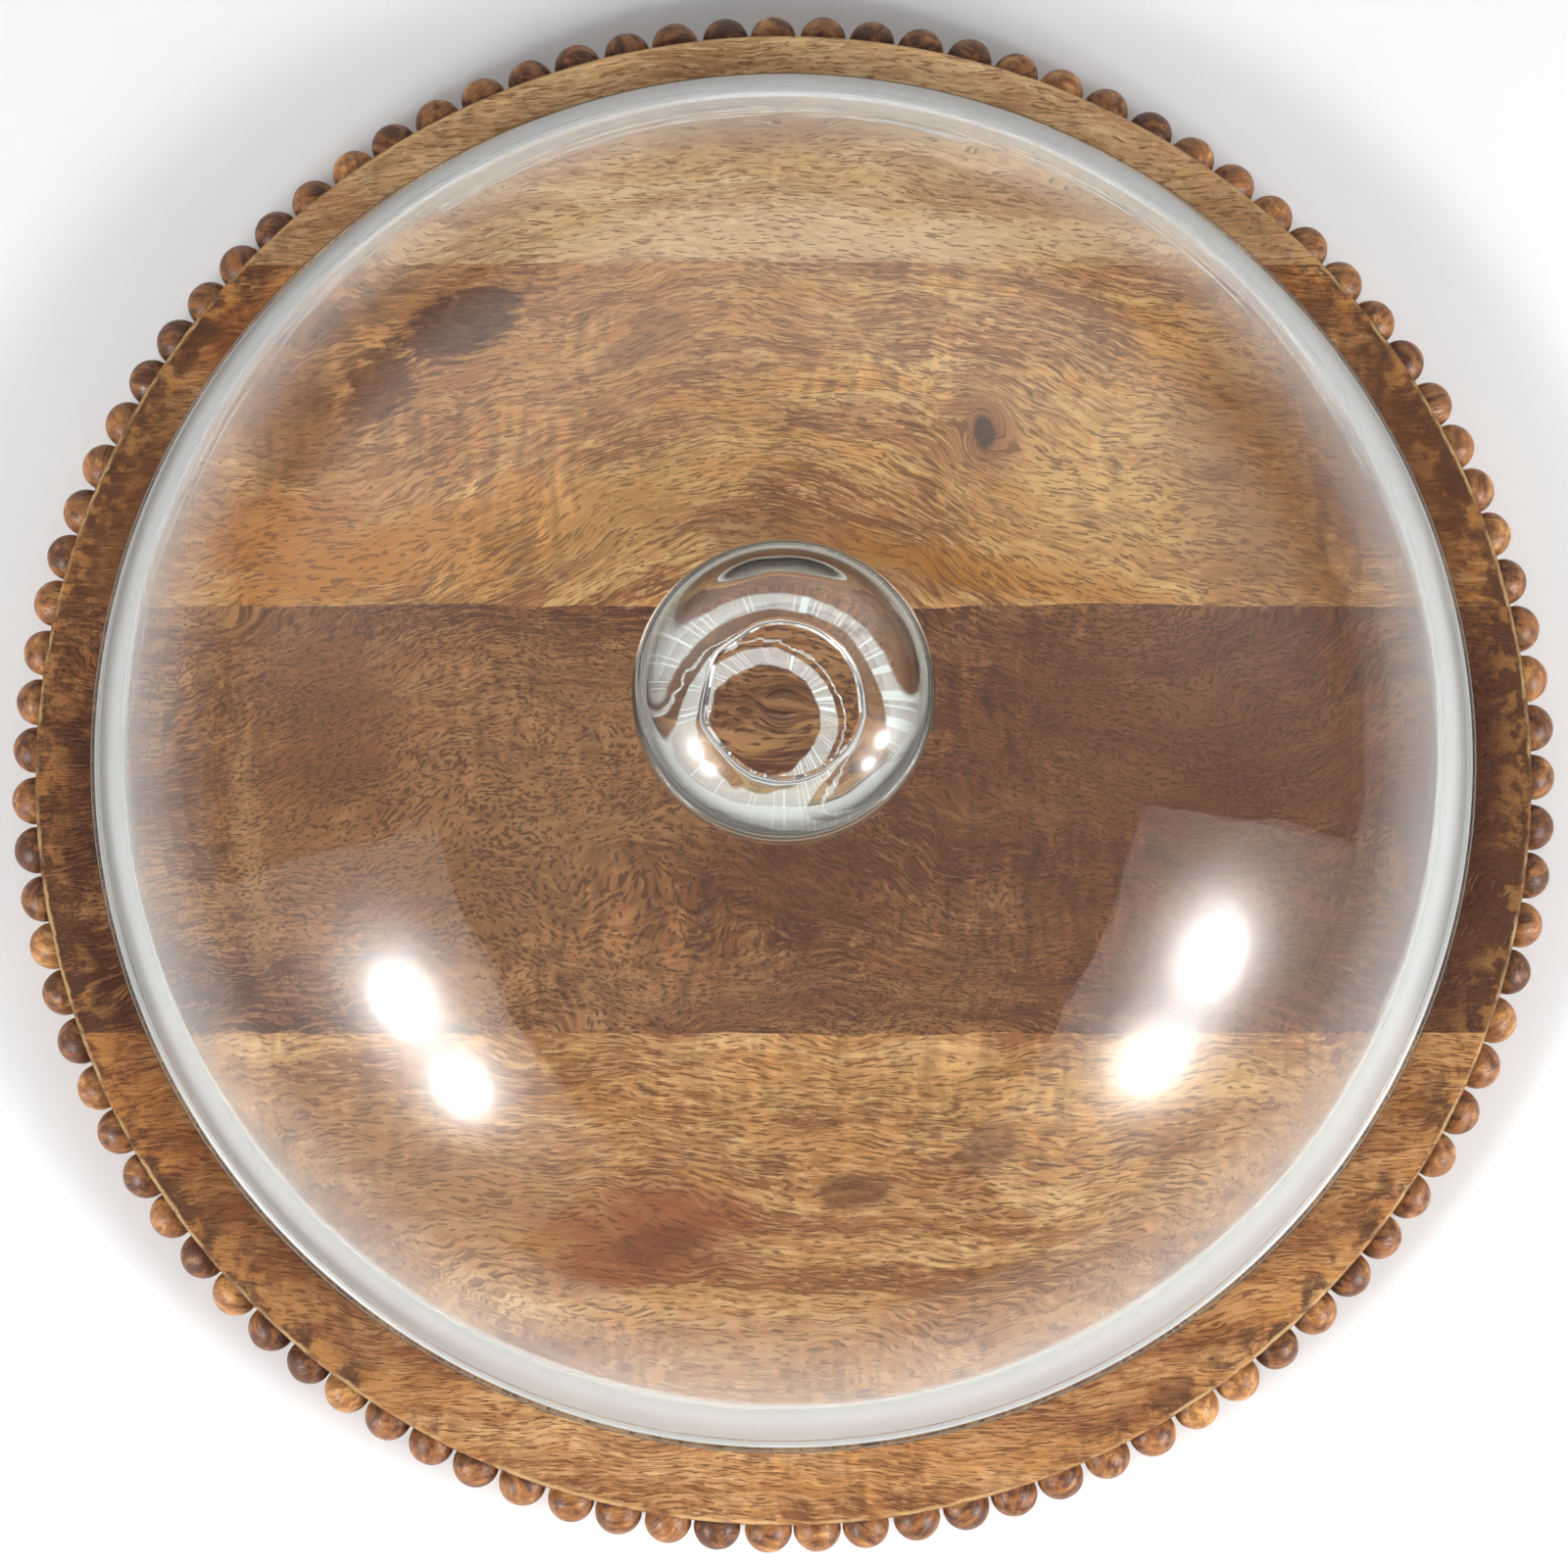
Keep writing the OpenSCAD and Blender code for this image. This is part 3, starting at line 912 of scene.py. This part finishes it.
def add_soft_box(name, place, aim, lobes):
    """A soft box: an even cloth with two bright lobes, given by their places on it."""
    light = bpy.data.lights.new(name, "AREA")
    light.shape = "RECTANGLE"
    light.size = BOX_WIDTH
    light.size_y = BOX_HEIGHT
    light.energy = math.pi * BOX_WIDTH * BOX_HEIGHT
    light.use_nodes = True
    n = Nodes(light.node_tree)
    across, up, _ = n.split(n.add("NewGeometry", out="Parametric"))
    strength = CLOTH_STRENGTH
    for lobe_x, lobe_y in lobes:
        dx = n.math("SUBTRACT", across, lobe_x)
        dy = n.math("SUBTRACT", up, lobe_y)
        square = n.math("ADD", n.times(dx, dx), n.times(n.times(dy, dy), 0.4))
        distance = n.math("SQRT", square)
        for falling_by, (bright, steep) in ((distance, HALO), (square, GLOW), (square, CORE)):
            falloff = n.math("EXPONENT", n.times(falling_by, -steep))
            strength = n.math("ADD", strength, n.times(falloff, bright))
    n.output(n.add("Emission", {0: (1, 1, 1, 1), 1: strength}), "OutputLight")
    lamp = bpy.data.objects.new(name, light)
    bpy.context.scene.collection.objects.link(lamp)
    lamp.location = place
    lamp.rotation_euler = (Vector(aim) - Vector(place)).to_track_quat("-Z", "Y").to_euler()


def build_camera():
    """Almost straight above the board, tilted a little towards the front."""
    data = bpy.data.cameras.new("camera")
    data.sensor_width = 36
    data.lens = data.sensor_width * CAMERA_DISTANCE / FRAME_WIDTH
    camera = bpy.data.objects.new("camera", data)
    bpy.context.scene.collection.objects.link(camera)
    back = Vector((0, -math.sin(CAMERA_TILT), math.cos(CAMERA_TILT)))
    camera.location = CAMERA_AIM + back * CAMERA_DISTANCE
    camera.rotation_euler = (-back).to_track_quat("-Z", "Y").to_euler()
    bpy.context.scene.camera = camera


glass = blown_glass_material()
seam = seam_material()
build_plank("plank_1", "light_tan_wood")
build_plank("plank_2", "honey_wood")
build_plank("plank_3", "dark_brown_wood")
build_plank("plank_4", "golden_wood")
bead_wood = bead_material()
for bead_node in BEAD_NODES:
    build_beads(bead_node, bead_wood)
build_dome(glass, seam)
build_knob(knob_glass_material(), crimp_material())

build_floor()
build_world()
add_soft_box("soft_box_left", (-0.95, -0.92, 0.55), (0, -0.75, 0.30), [(0.28, 0.632), (0.499, 0.641)])
add_soft_box("soft_box_right", (0.97, -0.85, 0.53), (0, -0.68, 0.30), [(0.773, 0.556), (0.55, 0.549)])
build_camera()
bpy.context.scene.view_settings.view_transform = "Standard"
bpy.context.scene.cycles.use_denoising = True
